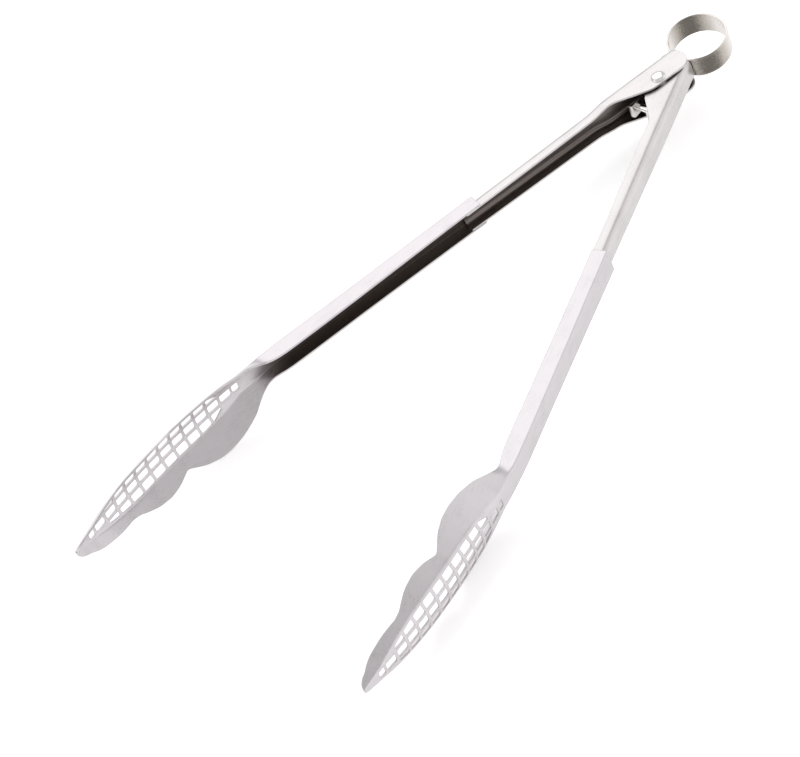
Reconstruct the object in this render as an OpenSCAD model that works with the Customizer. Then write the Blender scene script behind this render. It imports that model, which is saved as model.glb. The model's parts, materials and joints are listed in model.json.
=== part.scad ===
/* [Arms] */
// Distance from the pivot to where an arm starts to curve into its head
arm_len = 238; // [180:1:300]
// Length of the curved head, from the end of the straight to the tip
head_len = 153.5; // [120:0.5:190]
// Angle of each arm's straight off the centre line, with the tongs open
open_half = 16.5; // [10:0.5:20]
// Thickness of the sheet that the arms are pressed from
sheet = 1.1; // [0.8:0.1:1.4]
// Distance from the pivot to the outside of the handle's back
back_off = 11.8; // [11:0.1:15]
// Radius of the bow that bends the head inwards
bow_r = 425; // [380:1:520]

/* [Handles] */
// Distance from the pivot to the end of the handle inside its blade
handle_len = 124; // [90:1:150]
// Half the width of the inner handle at the pivot
handle_half = 7.4; // [7:0.1:9]
// Distance from the pivot at which the handles start to narrow
taper_from = 38; // [30:1:60]
// Narrowing of each side of the handle for each millimetre of length
handle_taper = 0.0134; // [0:0.001:0.014]
// Height of the handle's free edges above the pivot line
rim_off = 4.6; // [3.5:0.1:6]
// Rounding of the handle's back
back_round = 4.2; // [2:0.1:4.5]
// Distance from the pivot to the start of the outer handle's joggle
joggle_from = 29; // [26:1:33]
// Distance from the pivot to the end of the outer handle's joggle
joggle_to = 41; // [38:1:50]
// Distance from the pivot at which the outer ears start to narrow
outer_ear_from = 7; // [6:0.5:10]
// Distance from the pivot at which the outer ears reach the handle's depth
outer_ear_to = 27; // [24:0.5:30]
// Distance from the pivot at which the inner ears start to narrow
inner_ear_from = 13.4; // [12:0.1:15]
// Distance from the pivot at which the inner ears reach the handle's depth
inner_ear_to = 28; // [26:0.5:32]
// Distance from the pivot to the tail end of the ears
ear_tail = 19.4; // [18:0.1:21]
// Depth of the ears past the pivot
ear_drop = 4.6; // [4.4:0.1:6]
// Distance from the pivot to the end of the back between the ears
back_tail = 15.2; // [10:0.1:15.5]

/* [Blades] */
// Length of blade that laps over the end of the handle
lap = 9; // [6:1:20]
// Gap between the lapped sheets
lap_gap = 0.01; // [0.01:0.01:0.1]
// Half the width of the blade's channel at the head
neck_half = 6.3; // [5.5:0.1:7]
// Depth of the blade's channel at the handle
blade_depth = 8.5; // [7:0.1:10]
// Depth of the blade's channel at the head
neck_depth = 9.6; // [8:0.1:11]
// Rounding of the blade's back corners
blade_round = 2.2; // [1.5:0.1:3]

/* [Heads] */
// Half the width of the pierced panel at its widest
panel_half = 11.5; // [11.2:0.1:14]
// Radius of the panel's crown across its width
crown_r = 24; // [20:1:60]
// Share of the width that the panel keeps at the very tip
tip_share = 0.45; // [0.3:0.05:0.7]
// Slope of the head's sides away from the panel
side_slope = 45; // [35:1:55]
// Half the width of the head at the first scallop
first_scallop = 21.2; // [19:0.1:24]
// Half the width of the head at the second scallop
second_scallop = 18.4; // [16:0.1:20]
// Half the width of the head at the third scallop
third_scallop = 13; // [12.6:0.1:15]
// Length over which the tip is rounded
nose_r = 6.5; // [5:0.5:12]
// Half the width where that rounding starts
nose_half = 6; // [5:0.5:8]
// Length of the pitch between two rows of holes
hole_pitch = 8.42; // [7:0.01:10]
// Number of rows of holes along the panel
hole_rows = 12; // [9:1:12]
// Shift of the whole pattern of holes towards the tip
hole_shift = 5.7; // [4:0.1:6]
// Width of the metal bars between holes
bar = 1.35; // [1:0.05:2]
// Plain metal left beside the holes at the panel's widest
hole_margin = 2.2; // [1.5:0.1:3]
// Rounding of the holes' corners
hole_round = 1.2; // [0.5:0.1:1.5]
// Reach of the tapered hole that ends a side row, in pitches
corner_reach = 1.35; // [1:0.05:1.5]
// Inset of the two round end holes from a full pitch
end_hole_in = 1.5; // [1:0.1:2]
// Diameter of the round hole at each end of the panel
end_hole_d = 4.2; // [3:0.1:5]

/* [Pivot] */
// Diameter of the pivot rivet's shank
rivet_d = 4.6; // [4:0.1:5.2]
// Diameter of the pivot rivet's head
rivet_head_d = 7.8; // [7:0.1:9]
// Height of the pivot rivet's head
rivet_head_h = 1.4; // [1:0.1:2]
// Radial running clearance on the rivet
run_gap = 0.05; // [0.02:0.01:0.1]
// Thickness of the washers between the ears
thrust_t = 0.7; // [0.5:0.1:1.5]
// Outside diameter of the washers between the ears
thrust_d = 8.6; // [7:0.1:9]
// Thickness of the washer under the rivet's tail
tail_washer_t = 0.6; // [0.5:0.1:1]
// Diameter of the rivet's peened tail
rivet_tail_d = 6.4; // [5.5:0.1:7]
// Height of the rivet's peened tail
rivet_tail_h = 0.9; // [0.6:0.1:1.4]
// Wall of the bush on the rivet
bush_wall = 0.4; // [0.3:0.05:0.6]
// Free play between pieces stacked along the rivet
side_play = 0.05; // [0.02:0.01:0.1]

/* [Spring] */
// Diameter of the spring wire
wire_d = 1; // [0.8:0.1:1.1]
// Radial gap between the coil and the bush
coil_gap = 0.15; // [0.12:0.01:0.2]
// Depth of each spring leg below the inside of the handle's back
leg_gap = 1.2; // [1.1:0.1:2]
// Number of turns in the coil
coil_turns = 9; // [6:1:10]
// Distance from the pivot to the end of each spring leg
leg_len = 30; // [15:1:40]

/* [Pull ring] */
// Outside radius of the ring
ring_r = 16.4; // [15:0.1:18]
// Distance from the pivot to the near side of the ring, pushed in
ring_near = 17; // [16.8:0.1:22]
// Thickness of the ring's strip
strip_t = 1.1; // [0.8:0.1:1.3]
// Width of the strip round the ring
band_w = 12; // [9:0.1:12]
// Width of the strip's two tangs
tang_w = 8.2; // [6:0.1:8.4]
// Gap between the spring's coil and each tang
tang_clear = 0.35; // [0.3:0.05:0.5]
// Distance from the pivot to the feet at the end of the tangs
tang_len = 20; // [18:0.5:26]
// Width of the outward foot at the end of each tang
foot_w = 1.8; // [1:0.1:3]
// Distance from the tangs' feet to the spacer
spacer_in = 5; // [4:0.5:7]
// Diameter of the spacer between the tangs
spacer_d = 4; // [3.5:0.1:5]
// Diameter of the rivet through the spacer
tang_rivet_d = 2.4; // [2:0.1:3]
// Height of that rivet's heads
tang_head_h = 0.8; // [0.5:0.1:1]

/* [Hidden] */
steel = [0.80, 0.79, 0.78];
bright = [0.88, 0.87, 0.85];
dark = [0.55, 0.54, 0.53];

tip_s = arm_len + head_len;
ear_in = handle_half + thrust_t + 2 * side_play;
outer_half = ear_in + sheet;
blade_start = handle_len - lap;
blade_back = back_off + sheet + lap_gap;
panel_mid = arm_len + 0.534 * head_len;
panel_fore = 0.443 * head_len;
panel_aft = 0.41 * head_len;
// The least share of the half width that each sloping side keeps
flank_share = 0.2;
neck_end = arm_len + 0.25 * head_len;
flank_from = arm_len + 0.03 * head_len;
// Each scallop's peak, and its fall before and after the peak, worked out over a whole head length
scallop_half = [first_scallop, second_scallop, third_scallop];
scallop_at = [for (f = [0.381, 0.625, 0.782]) arm_len + f * head_len];
scallop_aft = [200, 295, 295];
scallop_fore = [295, 295, 207];
ring_off = ring_near + ring_r;
ring_in = ring_r - strip_t;
bush_d = rivet_d + 2 * run_gap + 2 * bush_wall;
coil_r = bush_d / 2 + coil_gap + wire_d / 2;
coil_end_gap = 0.45;
coil_top = handle_half - sheet - coil_end_gap - wire_d / 2;
tang_gap = coil_r + wire_d / 2 + tang_clear;
tang_out = tang_gap + strip_t;
spacer_x = tang_len - spacer_in;
press_fit = 0.01;
// The strip widens from its tangs to its band between these two distances from the pivot
widen_from = ring_near - 1;
widen_to = ring_near + 3;

// The whole object is centred on its own box and stands on its lowest rims
tip_x = tip_s * cos(open_half) - bow_w(tip_s) * sin(open_half);
pivot_x = (tip_x - ring_off - ring_r) / 2;
pivot_z = max(scallop_half);

function smooth(a, b, x) = let (t = min(1, max(0, (x - a) / (b - a)))) t * t * (3 - 2 * t);
function blend_max(a, b, k) = max(a, b) + pow(max(k - abs(a - b), 0), 2) / (4 * k);
function bow_angle(s) = s <= arm_len ? 0 : asin((s - arm_len) / bow_r);
function bow_w(s) = blade_back - bow_r * (1 - cos(bow_angle(s)));

// Half widths along an arm
function handle_w(s) = handle_half - handle_taper * max(0, s - taper_from);
function outer_w(s) = handle_w(s) + (outer_half - handle_half) * (1 - smooth(joggle_from, joggle_to, s));
function blade_w(s) = max(neck_half, handle_w(s) + sheet + lap_gap);
function leaf_x(s) = s < panel_mid ? (panel_mid - s) / panel_aft : (s - panel_mid) / panel_fore;
function leaf(s) = panel_half * (1 - pow(leaf_x(s), 3));
function crease(s) = s < panel_mid ? max(blade_w(s), leaf(s)) : max(tip_share * rim(s), leaf(s));

// Half width of the scalloped rim
function scallop(s, i) =
    let (fall = s < scallop_at[i] ? scallop_aft[i] : scallop_fore[i])
    scallop_half[i] - fall * pow((s - scallop_at[i]) / head_len, 2);
function nose_share(s) = max(0, s - tip_s + nose_r) / nose_r;
function nose(s) =
    nose_share(s) == 0 ? 3 * panel_half : nose_half * sqrt(max(0, 1 - pow(nose_share(s), 2)));
function rim(s) =
    let (
        base = s < neck_end ? blade_w(s) : 0,
        waves = blend_max(scallop(s, 0), blend_max(scallop(s, 1), scallop(s, 2), 2), 2)
    )
    min(nose(s), blend_max(base, waves, 1));

// Depth of the rim below the back of the blade
function channel_depth(s) = blade_depth + (neck_depth - blade_depth) * smooth(blade_start, arm_len, s);
function head_depth(s) =
    pow(crease(s), 2) / (2 * crown_r) + max(0, rim(s) - crease(s)) * tan(side_slope);
function rim_depth(s) =
    let (k = smooth(flank_from, neck_end, s)) (1 - k) * channel_depth(s) + k * head_depth(s);

// Half a cross-section as points [across, depth, heading], from the middle to the rim
function half_section(c, crown, r, d, round) =
    let (
        f = min(round, 0.7 * c, 0.45 * norm([r - c, d - crown])),
        flank = atan2(d - crown, r - c),
        z0 = c - f,
        slope = atan(2 * crown / c),
        p0 = [z0, crown * pow(z0 / c, 2)],
        p1 = [c, crown],
        p2 = p1 + f * [cos(flank), sin(flank)],
        rest = [r, d] - p2
    )
    concat(
        [for (i = [0, 1]) let (z = z0 * i / 2) [z, crown * pow(z / c, 2), slope * z / c]],
        [for (t = [0:0.25:1]) let (
            q = (1 - t) * (1 - t) * p0 + 2 * t * (1 - t) * p1 + t * t * p2,
            g = (1 - t) * (p1 - p0) + t * (p2 - p1)
        ) [q[0], q[1], atan2(g[1], g[0])]],
        [for (t = [0.5, 1]) [p2[0] + t * rest[0], p2[1] + t * rest[1], flank]]
    );

// The closed outline of one cross-section: the outside from rim to rim, then the inside back
function section_loop(half) =
    let (
        m = len(half),
        left = [for (i = [m - 1:-1:1]) [-half[i][0], half[i][1], -half[i][2]]],
        out = concat(left, half),
        n = len(out)
    )
    concat(
        [for (p = out) [p[0], p[1]]],
        [for (i = [n - 1:-1:0]) let (p = out[i]) [p[0] - sheet * sin(p[2]), p[1] + sheet * cos(p[2])]]
    );

// Places a cross-section square to the back of the arm at distance s
function place(loop, s, back, bend) =
    [for (p = loop) [-(s - p[1] * sin(bend)), back - p[1] * cos(bend), p[0]]];

// A skin over a row of loops, closed at both ends across the sheet
module skin(rows) {
    n = len(rows);
    m = len(rows[0]);
    h = m / 2;
    points = [for (row = rows) each row];
    sides = [for (i = [0:n - 2], j = [0:m - 1]) let (
        a = i * m + j, b = i * m + (j + 1) % m, c = a + m, d = b + m
    ) each [[a, b, d], [a, d, c]]];
    cap0 = [for (j = [0:h - 2]) each [[j, m - 1 - j, m - 2 - j], [j, m - 2 - j, j + 1]]];
    e = (n - 1) * m;
    cap1 = [for (j = [0:h - 2]) each [
        [e + j, e + m - 2 - j, e + m - 1 - j], [e + j, e + j + 1, e + m - 2 - j]
    ]];
    polyhedron(points, concat(sides, cap0, cap1), convexity = 10);
}

// Corner points [x, y, radius] turned into an outline with round corners
function rounded(pts, n = 8) =
    [for (i = [0:len(pts) - 1]) let (
        p = [pts[i][0], pts[i][1]],
        a = pts[(i + len(pts) - 1) % len(pts)],
        b = pts[(i + 1) % len(pts)],
        u = ([a[0], a[1]] - p) / norm([a[0], a[1]] - p),
        v = ([b[0], b[1]] - p) / norm([b[0], b[1]] - p),
        half = acos(u * v) / 2,
        r = pts[i][2],
        t = r / tan(half),
        c = p + (u + v) / norm(u + v) * r / sin(half),
        a0 = atan2((p + u * t - c)[1], (p + u * t - c)[0]),
        sweep = atan2((p + v * t - c)[1], (p + v * t - c)[0]) - a0,
        turn = sweep > 180 ? sweep - 360 : (sweep < -180 ? sweep + 360 : sweep)
    ) each r == 0 ? [p] : [for (k = [0:n]) c + r * [cos(a0 + turn * k / n), sin(a0 + turn * k / n)]]];

// Turns an arm drawn along -X to its open place on either side of the centre line
module on_pivot() { translate([pivot_x, 0, pivot_z]) children(); }
module outer_side() { on_pivot() rotate([0, 0, -open_half]) children(); }
module inner_side() { on_pivot() rotate([0, 0, open_half]) mirror([0, 1, 0]) children(); }

// A pressed handle: a channel with a round back, trimmed to its side outline and pierced at the pivot
module handle_channel(stations, outer) {
    skin([for (s = stations) let (w = outer ? outer_w(s) : handle_w(s))
        place(section_loop(half_section(w, 0, w, back_off + ear_drop + 1, back_round)), s, back_off, 0)]);
}

module handle(outer) {
    tail_corner = outer
        ? [[ear_tail, -ear_drop, 6.5]]
        : [[ear_tail - 9.4, -ear_drop, 5], [ear_tail, ear_drop - 3, 3]];
    front = outer
        ? [[-outer_ear_to, rim_off, 8], [-outer_ear_from, -ear_drop, 8]]
        : [[-inner_ear_to, rim_off, 5], [-inner_ear_from, 0.6 - ear_drop, 2]];
    inside = (outer ? outer_half : handle_half) - sheet;
    joggle = outer ? [for (i = [0:6]) joggle_from + (joggle_to - joggle_from) * i / 6] : [taper_from];
    stations = concat([-ear_tail - 1], joggle, [handle_len]);
    difference() {
        intersection() {
            handle_channel(stations, outer);
            translate([0, 0, -20]) linear_extrude(40) polygon(rounded(concat(
                front, tail_corner,
                [[ear_tail, back_off, 8], [-handle_len - 1, back_off + 1, 0], [-handle_len - 1, rim_off, 0]]
            )));
        }
        translate([back_tail, -ear_drop - 2, -inside]) cube([ear_tail, back_off + ear_drop + 4, 2 * inside]);
        cylinder(h = 40, r = rivet_d / 2 + run_gap, center = true, $fn = 48);
    }
}

// Cuts an outline straight through the sheet, square to the bow at distance s
module through(s, z) {
    translate([-s, bow_w(s), z]) rotate([0, 0, -bow_angle(s)]) rotate([90, 0, 0])
        linear_extrude(16, center = true) children();
}

module square_hole(w, h) {
    r = min(hole_round, 0.3 * w, 0.3 * h);
    polygon(rounded([[-w / 2, -h / 2, r], [w / 2, -h / 2, r], [w / 2, h / 2, r], [-w / 2, h / 2, r]], 2));
}

// Three rows of holes, whose side rows stop two pitches short and end in a tapered hole
module holes() {
    row = (2 * panel_half - 2 * bar - 2 * hole_margin) / 3;
    across = row + bar;
    first = panel_mid + (0.5 - hole_rows / 2) * hole_pitch + hole_shift;
    last = first + (hole_rows - 1) * hole_pitch;
    hole_len = hole_pitch - bar;
    for (i = [0:hole_rows - 1]) through(first + i * hole_pitch, 0) square_hole(hole_len, row);
    for (s = [first - hole_pitch + end_hole_in, last + hole_pitch - end_hole_in])
        through(s, 0) circle(d = end_hole_d, $fn = 24);
    for (side = [-1, 1]) {
        for (i = [2:hole_rows - 3])
            through(first + i * hole_pitch, side * across) square_hole(hole_len, row);
        corner_hole(first + 2 * hole_pitch - hole_len / 2 - bar, -1, side, across - row / 2, row);
        corner_hole(last - 2 * hole_pitch + hole_len / 2 + bar, 1, side, across - row / 2, row);
    }
}

// The tapered hole that ends a side row
module corner_hole(s, way, side, z0, row) {
    reach = corner_reach * hole_pitch;
    through(s, side * z0) polygon(concat(
        [[0, 0]],
        [for (t = [0:0.125:1]) [-way * reach * t, side * row * 0.92 * (1 - pow(t, 2))]]
    ));
}

module blade() {
    nose_s = [for (a = [24:15:84]) tip_s - nose_r + nose_r * sin(a)];
    steps = 36;
    body = [for (i = [0:steps]) arm_len - 2 + (head_len + 2 - nose_r) * i / steps];
    stations = concat([blade_start, (blade_start + arm_len) / 2], body, nose_s);
    difference() {
        skin([for (s = stations) let (
            opened = smooth(flank_from, neck_end, s),
            c = min(crease(s), (1 - flank_share * opened) * rim(s)),
            crown = opened * pow(c, 2) / (2 * crown_r),
            half = half_section(c, crown, max(c, rim(s)), rim_depth(s), blade_round)
        ) place(section_loop(half), s, bow_w(s), bow_angle(s))]);
        holes();
    }
}

module outer_handle() { color(steel) outer_side() handle(true); }
module inner_handle() { color(steel) inner_side() handle(false); }
module outer_blade() { color(bright) outer_side() blade(); }
module inner_blade() { color(bright) inner_side() blade(); }

// The rivet is headed on the near side and peened over a washer on the far side
module pivot_rivet() {
    top = outer_half + side_play;
    bottom = -top - tail_washer_t - side_play;
    color(bright) on_pivot() {
        translate([0, 0, top]) dome(rivet_head_d, rivet_head_h);
        translate([0, 0, bottom]) cylinder(h = top - bottom, d = rivet_d, $fn = 48);
        translate([0, 0, bottom]) mirror([0, 0, 1]) dome(rivet_tail_d, rivet_tail_h);
    }
}

// A low round head: a flat disc's worth of a sphere standing on z = 0
module dome(d, h) {
    r = (d * d / 4 + h * h) / (2 * h);
    intersection() {
        translate([0, 0, h - r]) sphere(r = r, $fn = 64);
        cylinder(h = h + 1, d = d + 1, $fn = 48);
    }
}

module washer(d, t) {
    difference() {
        cylinder(h = t, d = d, $fn = 48);
        translate([0, 0, -1]) cylinder(h = t + 2, r = rivet_d / 2 + run_gap, $fn = 48);
    }
}

module tail_washer() {
    color(dark) on_pivot() translate([0, 0, -outer_half - side_play - tail_washer_t])
        washer(rivet_tail_d + 1, tail_washer_t);
}
module near_thrust_washer() {
    color(dark) on_pivot() translate([0, 0, handle_half + side_play]) washer(thrust_d, thrust_t);
}
module far_thrust_washer() {
    color(dark) on_pivot() translate([0, 0, -handle_half - side_play - thrust_t]) washer(thrust_d, thrust_t);
}
module pivot_bush() {
    h = 2 * (handle_half - sheet - side_play);
    color(dark) on_pivot() translate([0, 0, -h / 2]) washer(bush_d, h);
}

// One wire: a leg on the near side, the coil round the bush, a leg on the far side
module torsion_spring() {
    target = back_off - sheet - wire_d / 2 - leg_gap;
    end = [
        -leg_len * cos(open_half) + target * sin(open_half),
        leg_len * sin(open_half) + target * cos(open_half)
    ];
    start_a = atan2(end[1], end[0]) - acos(coil_r / norm(end));
    sides = 8;
    per_turn = 16;
    sweep = 360 * coil_turns + 2 * (180 - start_a);
    n = ceil(per_turn * sweep / 360);
    coil = [for (i = [0:n]) let (a = start_a + sweep * i / n)
        [coil_r * cos(a), coil_r * sin(a), coil_top * (1 - 2 * i / n)]];
    path = concat([[end[0], end[1], coil_top]], coil, [[end[0], -end[1], -coil_top]]);
    last = len(path) - 1;
    rings = [for (i = [0:last]) let (
        a = path[max(0, i - 1)],
        b = path[min(last, i + 1)],
        dir = (b - a) / norm(b - a),
        side = cross([0, 0, 1], dir),
        u = side / norm(side),
        v = cross(dir, u)
    ) [for (k = [0:sides - 1]) let (a = 360 * k / sides) path[i] + wire_d / 2 * (cos(a) * u + sin(a) * v)]];
    color(steel) on_pivot() tube(rings);
}

module tube(rings) {
    m = len(rings[0]);
    n = len(rings);
    polyhedron(
        [for (r = rings) each r],
        concat(
            [for (i = [0:n - 2], j = [0:m - 1]) let (
                a = i * m + j, b = i * m + (j + 1) % m, c = a + m, d = b + m
            ) each [[a, d, b], [a, c, d]]],
            [[for (j = [0:m - 1]) j]],
            [[for (j = [m - 1:-1:0]) (n - 1) * m + j]]
        ),
        convexity = 10
    );
}

// The ring and its two tangs are one bent strip, which straddles the pivot bush
module pull_ring() {
    color(steel) on_pivot() intersection() {
        translate([0, 0, -band_w / 2]) linear_extrude(band_w) {
            difference() {
                translate([ring_off, 0]) circle(r = ring_r, $fn = 120);
                translate([ring_off, 0]) circle(r = ring_in, $fn = 120);
                translate([0, -tang_gap]) square([ring_off, 2 * tang_gap]);
            }
            for (side = [-1, 1]) {
                tang_end = ring_off - sqrt(pow(ring_in, 2) - pow(tang_gap, 2));
                translate([-tang_len, side > 0 ? tang_gap : -tang_out])
                    square([tang_end + tang_len, strip_t]);
                translate([-tang_len, side > 0 ? tang_gap : -tang_out - foot_w])
                    square([strip_t, strip_t + foot_w]);
            }
        }
        rotate([90, 0, 0]) linear_extrude(3 * ring_r, center = true) polygon([
            [-tang_len - 1, -tang_w / 2], [widen_from, -tang_w / 2], [widen_to, -band_w / 2],
            [ring_off + ring_r + 1, -band_w / 2], [ring_off + ring_r + 1, band_w / 2],
            [widen_to, band_w / 2], [widen_from, tang_w / 2], [-tang_len - 1, tang_w / 2]
        ]);
        difference() {
            translate([-tang_len - 1, -2 * ring_r, -band_w])
                cube([tang_len + ring_off + 2 * ring_r, 4 * ring_r, 2 * band_w]);
            translate([-spacer_x, 0, 0]) rotate([90, 0, 0])
                cylinder(h = 4 * tang_out, d = tang_rivet_d + 2 * press_fit, center = true, $fn = 32);
        }
    }
}

module tang_spacer() {
    color(bright) on_pivot() translate([-spacer_x, 0, 0]) rotate([90, 0, 0]) difference() {
        cylinder(h = 2 * tang_gap - 2 * press_fit, d = spacer_d, center = true, $fn = 32);
        cylinder(h = 4 * tang_gap, d = tang_rivet_d + 2 * press_fit, center = true, $fn = 32);
    }
}

module tang_rivet() {
    color(bright) on_pivot() translate([-spacer_x, 0, 0]) {
        rotate([90, 0, 0])
            cylinder(h = 2 * tang_out + 2 * press_fit, d = tang_rivet_d, center = true, $fn = 32);
        for (side = [-1, 1])
            translate([0, side * (tang_out + press_fit), 0]) rotate([-side * 90, 0, 0])
                dome(tang_rivet_d * 1.7, tang_head_h);
    }
}

outer_handle();
outer_blade();
inner_handle();
inner_blade();
pivot_rivet();
tail_washer();
near_thrust_washer();
far_thrust_washer();
pivot_bush();
torsion_spring();
pull_ring();
tang_spacer();
tang_rivet();
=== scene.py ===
import json
import math

import bpy
from mathutils import Matrix, Vector


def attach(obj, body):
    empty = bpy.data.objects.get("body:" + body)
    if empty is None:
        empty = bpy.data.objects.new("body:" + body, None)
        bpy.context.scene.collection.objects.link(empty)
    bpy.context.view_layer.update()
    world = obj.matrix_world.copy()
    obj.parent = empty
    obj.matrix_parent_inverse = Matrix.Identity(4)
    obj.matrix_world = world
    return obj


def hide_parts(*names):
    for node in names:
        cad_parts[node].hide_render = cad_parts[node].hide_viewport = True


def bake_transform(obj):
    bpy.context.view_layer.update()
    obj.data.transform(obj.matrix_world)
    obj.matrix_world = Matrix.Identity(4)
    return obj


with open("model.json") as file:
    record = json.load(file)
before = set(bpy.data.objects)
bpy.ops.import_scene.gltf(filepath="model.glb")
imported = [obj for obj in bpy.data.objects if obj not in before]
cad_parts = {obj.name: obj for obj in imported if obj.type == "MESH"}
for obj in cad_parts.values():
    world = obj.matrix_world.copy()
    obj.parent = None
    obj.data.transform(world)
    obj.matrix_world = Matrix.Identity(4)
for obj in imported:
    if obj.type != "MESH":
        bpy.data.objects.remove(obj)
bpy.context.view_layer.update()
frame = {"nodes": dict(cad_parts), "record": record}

# The tongs stand on one pivot. Everything is measured from its centre, in millimetres,
# with +X towards the pull ring and +Z towards the rivet's head.
MM = 0.001
hinge = next(j for j in frame["record"]["behaviour"]["joints"] if j["name"] == "outer_arm_hinge")
pivot = Vector(hinge["pos_m"])

# ---------------------------------------------------------------- camera, floor and light
# A still-life set: a white table, one big soft box behind, and two smaller ones to the
# left and in front. A pale, even room fills in what they leave dark.
bpy.ops.object.camera_add()
camera = bpy.context.object
camera.name = "camera"
camera.data.lens = 237.2
camera.data.sensor_width = 36
camera.data.clip_end = 50
camera_right = Vector((0.59314, -0.75744, -0.27447))
camera_up = Vector((0.70783, 0.32817, 0.62607))
camera_back = Vector((-0.38362, -0.56563, 0.73079))
camera_axes = Matrix((camera_right, camera_up, camera_back)).transposed()
camera.matrix_world = Matrix.Translation(pivot + Vector((-1.2316, -1.4872, 1.9331))) @ camera_axes.to_4x4()
bpy.context.scene.camera = camera


class Wire:
    """A socket of a finish that Python's own operators work on."""

    def __init__(self, finish, socket):
        self.finish = finish
        self.socket = socket

    def worked(self, operation, first, second):
        return self.finish.node("ShaderNodeMath", {"operation": operation}, {0: first, 1: second})

    def __add__(self, other):
        return self.worked("ADD", self, other)

    def __sub__(self, other):
        return self.worked("SUBTRACT", self, other)

    def __mul__(self, other):
        return self.worked("MULTIPLY", self, other)

    __radd__ = __add__
    __rmul__ = __mul__


class Finish:
    """A node material, made one node at a time."""

    def __init__(self, name):
        self.material = bpy.data.materials.new(name)
        self.material.use_nodes = True
        self.tree = self.material.node_tree
        self.shader = self.tree.nodes["Principled BSDF"]

    def node(self, kind, settings, values, output=0):
        made = self.tree.nodes.new(kind)
        for key, value in settings.items():
            if key == "stops":
                ramp = made.color_ramp
                for place, colour in value[1:-1]:
                    ramp.elements.new(place)
                for element, (place, colour) in zip(ramp.elements, value):
                    element.position = place
                    element.color = (*colour, 1)
            else:
                setattr(made, key, value)
        for key, value in values.items():
            self.feed(made.inputs[key], value)
        return Wire(self, made.outputs[output])

    def feed(self, socket, value):
        if isinstance(value, Wire):
            self.tree.links.new(value.socket, socket)
        else:
            socket.default_value = value


floor_finish = Finish("table_white")
table_grain = floor_finish.node("ShaderNodeTexNoise", {}, {"Scale": 3.0, "Detail": 2.0})
TABLE_STOPS = [(0, (0.93, 0.93, 0.93)), (1, (0.95, 0.95, 0.95))]
table_tone = floor_finish.node("ShaderNodeValToRGB", {"stops": TABLE_STOPS}, {"Fac": table_grain})
floor_finish.feed(floor_finish.shader.inputs["Base Color"], table_tone)
floor_finish.feed(floor_finish.shader.inputs["Emission Color"], table_tone)
floor_finish.shader.inputs["Emission Strength"].default_value = 0.38
floor_finish.shader.inputs["Roughness"].default_value = 0.9
bpy.ops.mesh.primitive_plane_add(size=12, location=(0, 0, 0))
floor = bpy.context.object
floor.name = "table_top"
floor.data.materials.append(floor_finish.material)


def soft_box(name, place, aim, size, power):
    bpy.ops.object.light_add(type="AREA", location=place)
    box = bpy.context.object
    box.name = name
    box.rotation_euler = (Vector(aim) - Vector(place)).to_track_quat("-Z", "Y").to_euler()
    box.data.shape = "SQUARE"
    box.data.size = size
    box.data.energy = power


soft_box("back_box", (1.15, 1.7, 2.2), (0, 0, 0), 2.8, 21)
soft_box("left_box", (-2.4, 1.2, 1.6), (0, 0, 0), 1.8, 9)
soft_box("front_box", (2.1, -1.2, 0.9), (0, 0, 0), 2.4, 7)
world = bpy.data.worlds.new("studio")
bpy.context.scene.world = world
world.use_nodes = True
world.node_tree.nodes["Background"].inputs["Color"].default_value = (1.0, 0.985, 0.99, 1)
world.node_tree.nodes["Background"].inputs["Strength"].default_value = 0.74
bpy.context.scene.view_settings.view_transform = "Standard"

# ---------------------------------------------------------------- stainless sheet
# The arms are pressed from stainless sheet that was brushed along its length. The rolling
# marks run the same way, and handling leaves soft cloudy patches and bright rubbed edges.
OPEN_HALF = math.radians(16.5)
# Painted reflection on the pull ring: light and dark bands by angle round its centre, fading out off the
# ring.
RING_REFLECTION_STOPS = [(0.3, (1, 1, 1)), (0.78, (0.6, 0.58, 0.55)), (0.97, (0.2, 0.19, 0.175))]
RING_REFLECTION_REACH = (17 * MM, 21 * MM)
RING_REFLECTION_TURN = 0.42


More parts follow.
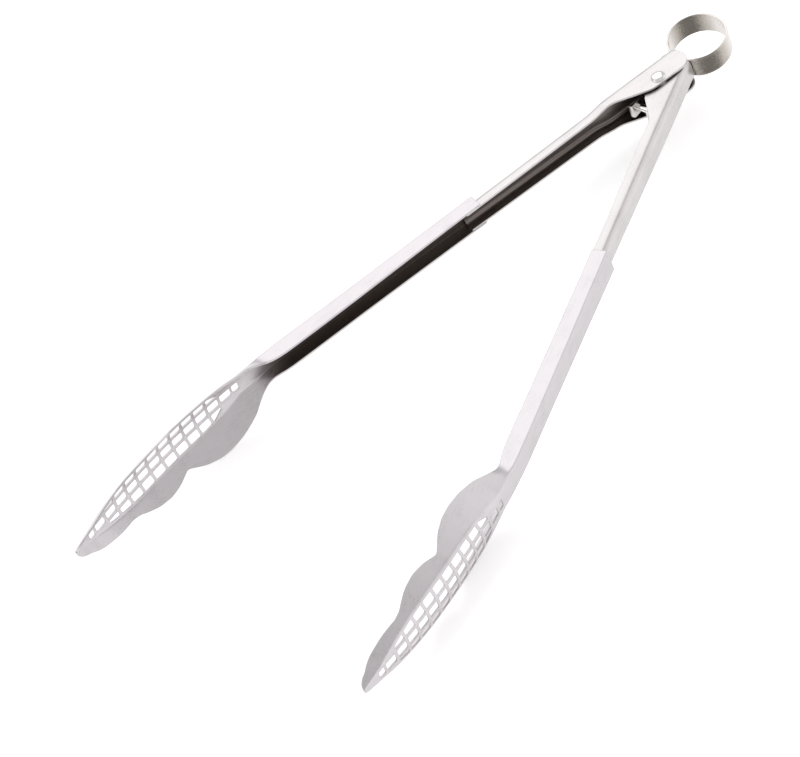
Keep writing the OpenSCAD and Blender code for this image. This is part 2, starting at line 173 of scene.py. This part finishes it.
def brushed(name, colour, roughness, turn, clouds, grain_mm=(14, 0.5), dull=None, reflection_centre=None):
    finish = Finish(name)
    place = finish.node("ShaderNodeTexCoord", {}, {}, output="Object")
    along = finish.node("ShaderNodeMapping", {"vector_type": "TEXTURE"},
                        {"Vector": place, "Rotation": (0, 0, turn),
                         "Scale": (grain_mm[0] * MM, grain_mm[1] * MM, grain_mm[1] * MM)})
    grain = finish.node("ShaderNodeTexNoise", {},
                        {"Vector": along, "Scale": 1.0, "Detail": 4.0, "Roughness": 0.6})
    speck = finish.node("ShaderNodeTexNoise", {}, {"Vector": place, "Scale": 900.0, "Detail": 3.0})
    cloud = finish.node("ShaderNodeTexNoise", {},
                        {"Vector": place, "Scale": 70.0, "Detail": 4.0, "Distortion": 0.6})
    edge = finish.node("ShaderNodeNewGeometry", {}, {}, output="Pointiness")
    rubbed = finish.node("ShaderNodeMapRange", {"clamp": True},
                         {"Value": edge, "From Min": 0.52, "From Max": 0.6, "To Min": 0.0, "To Max": 1.0})
    tone = grain * 0.45 + cloud * clouds + speck * 0.15 + rubbed * 0.2
    low = tuple(c * 0.78 for c in colour)
    high = tuple(min(1.0, c * 1.08) for c in colour)
    stops = [(0.25, low), (0.5, colour), (0.9, high)]
    shade = finish.node("ShaderNodeValToRGB", {"stops": stops}, {"Fac": tone})
    # Painted shade: faces inside the channels are mixed towards a dark colour by a per-vertex mask.
    if dull:
        inside = finish.node("ShaderNodeAttribute", {"attribute_name": "dull"}, {}, output="Fac")
        shade = finish.node("ShaderNodeMix", {"data_type": "RGBA"},
                            {0: inside, 6: shade, 7: (*dull, 1)}, output=2)
    # Painted reflection: the colour is multiplied by light and dark bands going round a centre, where
    # reflections would lie on the ring.
    if reflection_centre:
        centred = finish.node("ShaderNodeVectorMath", {"operation": "SUBTRACT"}, {0: place, 1: reflection_centre})
        round_axis = finish.node("ShaderNodeSeparateXYZ", {}, {0: centred})
        side = Wire(finish, round_axis.socket.node.outputs[1])
        angle = finish.node("ShaderNodeMath", {"operation": "ARCTAN2"}, {0: side, 1: round_axis})
        turned_twice = finish.node("ShaderNodeMath", {"operation": "SINE"}, {0: angle * 2.0 - RING_REFLECTION_TURN})
        reflection_wave = turned_twice * 0.5 + 0.5 + (grain - 0.5) * 0.5
        painted_reflection = finish.node("ShaderNodeValToRGB", {"stops": RING_REFLECTION_STOPS}, {"Fac": reflection_wave})
        away = finish.node("ShaderNodeVectorMath", {"operation": "LENGTH"}, {0: centred}, output=1)
        on_ring = finish.node("ShaderNodeMapRange", {"clamp": True},
                              {"Value": away, "From Min": RING_REFLECTION_REACH[0], "From Max": RING_REFLECTION_REACH[1],
                               "To Min": 1.0, "To Max": 0.0})
        shade = finish.node("ShaderNodeMix", {"data_type": "RGBA", "blend_type": "MULTIPLY"},
                            {0: on_ring, 6: shade, 7: painted_reflection}, output=2)
    finish.feed(finish.shader.inputs["Base Color"], shade)
    uneven = roughness + (grain - 0.5) * 0.22 + (cloud - 0.5) * 0.12 - rubbed * 0.06
    finish.feed(finish.shader.inputs["Roughness"], uneven)
    bump = finish.node("ShaderNodeBump", {},
                       {"Strength": 0.12, "Distance": 0.0001, "Height": grain + speck * 0.4})
    finish.feed(finish.shader.inputs["Normal"], bump)
    finish.shader.inputs["Metallic"].default_value = 1.0
    return finish.material


def pressed(name, stations, half_columns, shape, gone, outward, thickness, offset, body, node, metal,
            painted_shade_of=None, levels=2):
    """A flat blank is pressed until each crossing of its grid is where shape puts it, then thickened."""
    rows = len(stations)
    columns = 2 * half_columns - 1
    bpy.ops.object.select_all(action="DESELECT")
    bpy.ops.mesh.primitive_grid_add(x_subdivisions=rows - 1, y_subdivisions=columns - 1, size=2)
    blank = bpy.context.object
    blank.name = name
    mesh = blank.data

    def cell(value, count):
        return (value + 1) / 2 * (count - 1)

    for vertex in mesh.vertices:
        row = round(cell(vertex.co.x, rows))
        column = round(cell(vertex.co.y, columns)) - half_columns + 1
        vertex.co = shape(stations[row], abs(column), 1 if column >= 0 else -1)
    mesh.update()
    bpy.ops.object.mode_set(mode="EDIT")
    bpy.ops.mesh.select_mode(type="FACE")
    bpy.ops.object.mode_set(mode="OBJECT")
    for face in mesh.polygons:
        face.select = gone_faces(face, gone, rows, columns, half_columns)
    bpy.ops.object.mode_set(mode="EDIT")
    bpy.ops.mesh.delete(type="FACE")
    bpy.ops.mesh.select_all(action="SELECT")
    bpy.ops.object.mode_set(mode="OBJECT")
    middle = max(mesh.polygons, key=lambda f: f.normal.dot(outward) ** 2)
    if middle.normal.dot(outward) < 0:
        bpy.ops.object.mode_set(mode="EDIT")
        bpy.ops.mesh.flip_normals()
        bpy.ops.object.mode_set(mode="OBJECT")
    wall = blank.modifiers.new("wall", "SOLIDIFY")
    wall.thickness = thickness * MM
    wall.offset = offset
    wall.use_even_offset = True
    wall.edge_crease_inner = 0.55
    wall.edge_crease_outer = 0.55
    smooth = blank.modifiers.new("smooth", "SUBSURF")
    smooth.levels = levels
    smooth.render_levels = levels
    bpy.ops.object.modifier_apply(modifier="wall")
    bpy.ops.object.modifier_apply(modifier="smooth")
    bpy.ops.object.shade_smooth()
    mesh.materials.append(metal)
    # Painted shade: a per-vertex mask marks where the inside of a channel is darkened.
    if painted_shade_of:
        dull = mesh.attributes.new("dull", "FLOAT", "POINT")
        for vertex, value in zip(mesh.vertices, dull.data):
            value.value = painted_shade_of(vertex.co, vertex.normal)
    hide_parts(node)
    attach(blank, body)
    return blank


def gone_faces(face, gone, rows, columns, half_columns):
    row = face.index % (rows - 1)
    column = face.index // (rows - 1)
    return gone(row, column - half_columns + 1)


def on_arm(s, w, z, side):
    """A point of an arm: s along its straight, w outwards, z up, on the +Y or the -Y side."""
    x = -s * math.cos(OPEN_HALF) + w * math.sin(OPEN_HALF)
    y = side * (s * math.sin(OPEN_HALF) + w * math.cos(OPEN_HALF))
    return pivot + Vector((x, y, z)) * MM


def channel_painted_shade(side):
    """Painted shade: how strongly the inside of a channel is darkened, as far as the neck of its head."""
    along = Vector((-math.cos(OPEN_HALF), side * math.sin(OPEN_HALF), 0))
    outward = Vector((math.sin(OPEN_HALF), side * math.cos(OPEN_HALF), 0))

    def amount(place, normal):
        at = (place - pivot) / MM
        s, w, z = at.dot(along), at.dot(outward), at.z
        middle = outward * (-1 if s < 240 else -0.7) if w > 10.5 else Vector((0, 0, -1 if z > 0 else 1))
        under_web = outward.dot(normal) < -0.5 and w > 5
        facing = normal.z * z < -0.2 * abs(z) or under_web or normal.dot(middle) > 0.6
        on_rim = outward.dot(normal) < -0.5 and not under_web
        return 0.0 if on_rim or not facing else 1 - ease(238, 268, s)

    return amount


def clamp(value, low, high):
    return max(low, min(high, value))


def ease(low, high, value):
    t = clamp((value - low) / (high - low), 0, 1)
    return t * t * (3 - 2 * t)


# ---------------------------------------------------------------- handles
# Each handle is a channel with a well rounded back, whose sides run on past the pivot as two
# ears. The outer handle's ears are joggled outwards, so that they straddle the inner ones.
SHEET = 1.1
BACK_OFF = 11.8
HANDLE_HALF = 7.4
OUTER_HALF = 9.3
BACK_ROUND = 4.2
RIM_OFF = 4.6
EAR_DROP = 4.6
BACK_TAIL = 15.2
ROUND_STEPS = 4
SIDE_STEPS = (0.3, 0.6, 0.86, 1)
OUTER_EAR_RISE = (7, 27)
INNER_EAR_RISE = (11.5, 27)
JOGGLE = (29, 41)
TAPER_FROM = 38
TAPER = 0.0134
EAR_END = -12.4
EAR_END_R = 7
EAR_END_OFF = 2.3
TAIL_TOP_R = 9.5
HANDLE_ROWS = [-19.3, -18.7, -17.6, -16.4, -15.2, -14.2, -12.4, -8, -3, 2, 5, 8, 12, 17, 22, 25, 28,
               31, 34, 37, 40, 43, 55, 75, 100, 118, 123, 124]


def handle_width(s):
    return HANDLE_HALF - TAPER * max(0, s - TAPER_FROM)


def ear_round(s):
    return math.sqrt(max(0, 1 - ((s - EAR_END) / EAR_END_R) ** 2))


def handle_shape(outer, side):
    rise_from, rise_to = OUTER_EAR_RISE if outer else INNER_EAR_RISE

    def edge(s):
        low = -EAR_DROP + (EAR_DROP + RIM_OFF) * clamp((s - rise_from) / (rise_to - rise_from), 0, 1)
        return EAR_END_OFF - 6.9 * ear_round(s) if s < EAR_END else low

    def shape(s, column, way):
        width = handle_width(s)
        if outer:
            width += (OUTER_HALF - HANDLE_HALF) * (1 - ease(*JOGGLE, s))
        lead = width - BACK_ROUND
        if column <= 2:
            return on_arm(s, BACK_OFF, way * lead * column / 2, side)
        tail = BACK_OFF if s > -BACK_TAIL - 0.1 else EAR_END_OFF + TAIL_TOP_R * ear_round(s)
        if column <= 2 + ROUND_STEPS:
            t = (column - 2) / ROUND_STEPS
            z = (1 - t) ** 2 * lead + 2 * t * (1 - t) * width + t * t * width
            w = min(BACK_OFF - t * t * BACK_ROUND, tail - 0.05 * (column - 2))
            return on_arm(s, w, way * z, side)
        top = min(BACK_OFF - BACK_ROUND, tail - 0.3)
        share = SIDE_STEPS[column - 3 - ROUND_STEPS]
        return on_arm(s, top + share * (edge(s) - top), way * width, side)

    return shape


def handle_gone(row, column):
    past_back = HANDLE_ROWS[row] < -BACK_TAIL - 0.01
    return past_back and -4 <= column < 4


# The colour of the painted shade inside the channels.
CHANNEL_PAINTED_SHADE = (0.22, 0.195, 0.18)
ARMS = ((1, "outer", "outer_arm"), (-1, "inner", "inner_arm"))
handle_steel = {side: brushed(f"handle_steel_{name}", (0.63, 0.61, 0.61), 0.3, -side * OPEN_HALF, 0.35,
                              dull=CHANNEL_PAINTED_SHADE) for side, name, body in ARMS}
HANDLE_COLUMNS = 3 + ROUND_STEPS + len(SIDE_STEPS)
for side, name, body in ARMS:
    pressed(f"{name}_handle_shell", HANDLE_ROWS, HANDLE_COLUMNS, handle_shape(side == 1, side), handle_gone,
            Vector((math.sin(OPEN_HALF), side * math.cos(OPEN_HALF), 0)), SHEET, -1, body,
            f"{name}_handle", handle_steel[side], channel_painted_shade(side))

# ---------------------------------------------------------------- blades
# Each blade laps the end of its handle as a channel, bows inwards and opens into a scoop. The
# pierced leaf in the middle is slightly crowned, and the sides slope to a scalloped rim.
ARM_LEN = 238
TIP = 391.5
BOW_R = 425
BLADE_BACK = BACK_OFF + SHEET + 0.01
PANEL_MID = 320
PITCH = 8.42
BAR = 1.55
CORNER = 0.9
FIRST_ROW = PANEL_MID - 5.5 * PITCH + 5.7
HOLE_ROWS = 12
SCALLOPS = ((296.5, 21.2, 0.0085, 0.0125), (333.9, 18.4, 0.0125, 0.0125), (358, 13, 0.0125, 0.0088))
NOSE = 6.5
NOSE_HALF = 6
NECK_HALF = 6.3
FLANK_FROM = 242.6
NECK_END = 276.4
LEAF_HALF = 11.5
LEAF_REACH = (62.9, 68)
CROWN_R = 24
FLANK_SHARE = 0.2
SCALLOP_BLEND = 2
TIP_SHARE = 0.45
BLADE_COLUMNS = 13


def soft_max(a, b, reach):
    return max(a, b) + max(reach - abs(a - b), 0) ** 2 / (4 * reach)


def bow_angle(s):
    return 0 if s <= ARM_LEN else math.asin((s - ARM_LEN) / BOW_R)


def blade_back(s):
    return BLADE_BACK - BOW_R * (1 - math.cos(bow_angle(s)))


def channel_half(s):
    return max(NECK_HALF, handle_width(s) + SHEET + 0.01)


def rim_half(s):
    base = channel_half(s) if s < NECK_END else 0
    waves = [top - (before if s < at else after) * (s - at) ** 2 for at, top, before, after in SCALLOPS]
    scallops = soft_max(waves[0], soft_max(waves[1], waves[2], SCALLOP_BLEND), SCALLOP_BLEND)
    scalloped = soft_max(base, scallops, 1)
    if s < TIP - NOSE:
        return scalloped
    return min(scalloped, NOSE_HALF * math.sqrt(max(0, 1 - ((s - TIP + NOSE) / NOSE) ** 2)))


def crease_half(s):
    reach = LEAF_REACH[0] if s < PANEL_MID else LEAF_REACH[1]
    leaf = LEAF_HALF * (1 - (abs(s - PANEL_MID) / reach) ** 3)
    wanted = max(channel_half(s), leaf) if s < PANEL_MID else max(TIP_SHARE * rim_half(s), leaf)
    return min(wanted, (1 - FLANK_SHARE * ease(FLANK_FROM, NECK_END, s)) * rim_half(s))


def rim_deep(s):
    crease = crease_half(s)
    head = crease ** 2 / (2 * CROWN_R) + max(0, rim_half(s) - crease)
    channel = 8.5 + 1.1 * ease(115, ARM_LEN, s)
    share = ease(FLANK_FROM, NECK_END, s)
    return (1 - share) * channel + share * head


def blade_shape(side):
    def shape(s, column, way):
        crease = crease_half(s)
        rim = max(crease, rim_half(s))
        crown = ease(FLANK_FROM, NECK_END, s) / (2 * CROWN_R)
        flank = Vector((rim - crease, rim_deep(s) - crown * crease ** 2))
        fillet = min(1.6, 0.2 * crease, 0.35 * flank.length)
        lead = crease - fillet
        outside = min(9.3, lead - 0.3, 4.5 + 0.6 * max(0, s - 283), 4.5 + 0.6 * max(0, 368.5 - s))
        outside = max(outside, min(4.5, 0.85 * lead))
        inside = min(4.1, 0.9 * outside)
        hole = min(2.5, 0.82 * inside)
        row_width = outside - inside
        across = (0, hole / 2, hole, inside, inside + 0.23 * row_width, inside + 0.77 * row_width, outside,
                  lead, crease)
        if column < len(across):
            z = across[column]
            deep = crown * z * z
        else:
            run = (fillet / flank.length, 0.5, 1 - 0.7 / max(flank.length, 2), 1)[column - len(across)]
            z = crease + run * flank.x
            deep = crown * crease ** 2 + run * flank.y
        bend = bow_angle(s)
        return on_arm(s - deep * math.sin(bend), blade_back(s) - deep * math.cos(bend), way * z, side)

    return shape


half_hole = (PITCH - BAR) / 2
BLADE_ROWS = [115, 115.8, 130, 160, 200, 224, 234, 240, 246, 251, 256, 261, 266, 269.3]
BLADE_ROWS += [270.6, 272, 273.4, 274.7]
for row in range(HOLE_ROWS):
    middle = FIRST_ROW + row * PITCH
    BLADE_ROWS += [middle - half_hole, middle - half_hole + CORNER,
                   middle + half_hole - CORNER, middle + half_hole]
BLADE_ROWS += [376.7, 378, 379.4, 380.7, 383, 385.3, 387.3, 389, 390.3, 391.1]
near_end = BLADE_ROWS.index(270.6)
first_hole = near_end + 4
far_end = BLADE_ROWS.index(376.7)


def blade_gone(row, column):
    across = column if column >= 0 else -column - 1
    centre = across < 2
    beside = 3 <= across < 6
    if near_end <= row < near_end + 3 or far_end <= row < far_end + 3:
        return centre
    if first_hole <= row < far_end:
        pitch, part = divmod(row - first_hole, 4)
        if part == 3:
            return False
        return centre or (beside and 1 <= pitch <= HOLE_ROWS - 2)
    return False


blade_steel = {side: brushed(f"blade_steel_{name}", (0.615, 0.59, 0.605), 0.31, -side * OPEN_HALF, 0.4,
                             dull=CHANNEL_PAINTED_SHADE) for side, name, body in ARMS}
for side, name, body in ARMS:
    pressed(f"{name}_blade_shell", BLADE_ROWS, BLADE_COLUMNS, blade_shape(side), blade_gone,
            Vector((math.sin(OPEN_HALF), side * math.cos(OPEN_HALF), 0)), SHEET, -1, body,
            f"{name}_blade", blade_steel[side], channel_painted_shade(side))

# ---------------------------------------------------------------- pull ring
# One strip is bent into the ring, and its two ends run on past the pivot as tangs with small
# outward feet. The strip is brushed round its length and narrows where it becomes a tang.
RING_MID = 15.85
RING_OFF = 33.4
TANG_MID = 4.8
TANG_LEN = 19.45
FOOT_OUT = 7.05
STRIP_T = 1.08
half_strip = [(-TANG_LEN, FOOT_OUT), (-TANG_LEN, 6.2), (-TANG_LEN, 5.3), (-TANG_LEN + 0.1, TANG_MID + 0.1)]
half_strip += [(x, TANG_MID) for x in (-18.8, -12, 0, 10, 14, 16.6)] + [(17.9, TANG_MID + 0.02)]
start_angle = math.pi - math.asin((TANG_MID + 0.5) / RING_MID)
ARC_STEPS = 26
half_strip += [(RING_OFF + RING_MID * math.cos(start_angle * (1 - i / ARC_STEPS)),
                RING_MID * math.sin(start_angle * (1 - i / ARC_STEPS))) for i in range(ARC_STEPS + 1)]
strip = half_strip + [(x, -y) for x, y in reversed(half_strip[:-1])]


def strip_shape(station, column, way):
    x, y = strip[station]
    half = 4.05 + 1.9 * ease(16, 20, x)
    across = (0, 0.5, 0.9, 1)[column]
    return pivot + Vector((x, y, way * across * half)) * MM


# The ring's finish carries the painted reflection bands round its centre.
ring_steel = brushed("ring_steel", (0.7, 0.67, 0.64), 0.26, 0, 0.3, grain_mm=(0.6, 0.6),
                     reflection_centre=pivot + Vector((RING_OFF, 0, 0)) * MM)
pressed("pull_ring_strip", range(len(strip)), 4, strip_shape, lambda row, column: False, Vector((1, 0, 0)),
        STRIP_T, 0, "lock_slide", "pull_ring", ring_steel)

# ---------------------------------------------------------------- pivot rivet
# A turned rivet holds the ears. Its low round head is on top, and its tail is peened over a
# washer. The head is polished, with a fine turned grain and a slightly softened edge.
HEAD_R = 3.9
HEAD_H = 1.4
HEAD_STEPS = 8
stack = OUTER_HALF + 0.05
profile = [(1.6, -stack - 1.5), (2.5, -stack - 1.3), (3.05, -stack - 0.95), (3.15, -stack - 0.65),
           (2.3, -stack - 0.64), (2.3, stack), (HEAD_R - 0.12, stack), (HEAD_R, stack + 0.12)]
for i in range(1, HEAD_STEPS):
    angle = math.pi / 2 * i / HEAD_STEPS
    profile.append((HEAD_R * math.cos(angle), stack + 0.12 + (HEAD_H - 0.12) * math.sin(angle) ** 1.15))


def turned(name, profile, node, body, metal):
    """A disc is drawn out along the axis and opened or closed to follow a profile of radius and height."""
    bpy.ops.object.select_all(action="DESELECT")
    radius, height = profile[0]
    start = pivot + Vector((0, 0, height)) * MM
    bpy.ops.mesh.primitive_circle_add(vertices=72, radius=radius * MM, fill_type="NGON", location=start)
    piece = bpy.context.object
    piece.name = name
    bpy.ops.object.mode_set(mode="EDIT")
    for wide, high in profile[1:]:
        bpy.ops.mesh.extrude_region_move(TRANSFORM_OT_translate={"value": (0, 0, (high - height) * MM)})
        bpy.ops.transform.resize(value=(wide / radius, wide / radius, 1))
        radius, height = wide, high
    bpy.ops.mesh.select_all(action="SELECT")
    bpy.ops.mesh.normals_make_consistent(inside=False)
    bpy.ops.object.mode_set(mode="OBJECT")
    bpy.ops.object.transform_apply(location=True, rotation=True, scale=True)
    bpy.ops.object.shade_smooth_by_angle(angle=math.radians(40))
    piece.data.materials.append(metal)
    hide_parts(node)
    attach(piece, body)


rivet_steel = brushed("rivet_steel", (0.86, 0.85, 0.83), 0.16, 0, 0.2, grain_mm=(0.8, 0.8))
turned("pivot_rivet_turned", profile, "pivot_rivet", "pivot", rivet_steel)

# ---------------------------------------------------------------- washers, bush and tang rivet
# Plain turned parts stay as they were designed, and take the finish of barrel-polished steel.
washer_steel = brushed("washer_steel", (0.62, 0.61, 0.60), 0.34, 0, 0.3, grain_mm=(0.6, 0.6))
finishes = {"tail_washer": washer_steel, "near_thrust_washer": washer_steel,
            "far_thrust_washer": washer_steel, "pivot_bush": washer_steel,
            "tang_spacer": rivet_steel, "tang_rivet": rivet_steel}
for name, metal in finishes.items():
    node_mesh = frame["nodes"][name].data
    node_mesh.materials.clear()
    node_mesh.materials.append(metal)

# ---------------------------------------------------------------- torsion spring
# One drawn wire is wound round the bush. Its two legs lie inside the arms, and it is made as two halves,
# each with the leg that lies in its own arm.
WIRE_R = 0.49
COIL_R = 3.4
COIL_TOP = 5.35
COIL_TURNS = 9
LEG_LEN = 30
LEG_OFF = 9.0
leg = Vector((-LEG_LEN * math.cos(OPEN_HALF) + LEG_OFF * math.sin(OPEN_HALF),
              LEG_LEN * math.sin(OPEN_HALF) + LEG_OFF * math.cos(OPEN_HALF)))
coil_start = math.atan2(leg.y, leg.x) - math.acos(COIL_R / leg.length)
half_sweep = math.pi * COIL_TURNS + (math.pi - coil_start)
spring_steel = brushed("spring_steel", (0.56, 0.55, 0.53), 0.28, 0, 0.3, grain_mm=(0.7, 0.7))
COIL_STEPS = 160
for way, name, body in ARMS:
    points = [Vector((leg.x + (COIL_R * math.cos(coil_start) - leg.x) * t,
                      leg.y + (COIL_R * math.sin(coil_start) - leg.y) * t, COIL_TOP))
              for t in (0, 0.2, 0.4, 0.6, 0.8)]
    for i in range(COIL_STEPS + 1):
        angle = coil_start + half_sweep * i / COIL_STEPS
        points.append(Vector((COIL_R * math.cos(angle), COIL_R * math.sin(angle),
                              COIL_TOP * (1 - i / COIL_STEPS))))
    curve = bpy.data.curves.new(f"{name}_spring_half", "CURVE")
    curve.dimensions = "3D"
    curve.bevel_depth = WIRE_R * MM
    curve.bevel_resolution = 4
    curve.use_fill_caps = True
    spline = curve.splines.new("POLY")
    spline.points.add(len(points) - 1)
    for made, point in zip(spline.points, points):
        place = pivot + Vector((point.x, way * point.y, way * point.z)) * MM
        made.co = (*place, 1)
    half_spring = bpy.data.objects.new(f"{name}_spring_half", curve)
    bpy.context.collection.objects.link(half_spring)
    bpy.ops.object.select_all(action="DESELECT")
    half_spring.select_set(True)
    bpy.context.view_layer.objects.active = half_spring
    bpy.ops.object.convert(target="MESH")
    half_spring = bpy.context.object
    bpy.ops.object.shade_smooth()
    half_spring.data.materials.append(spring_steel)
    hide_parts("torsion_spring")
    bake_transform(half_spring)
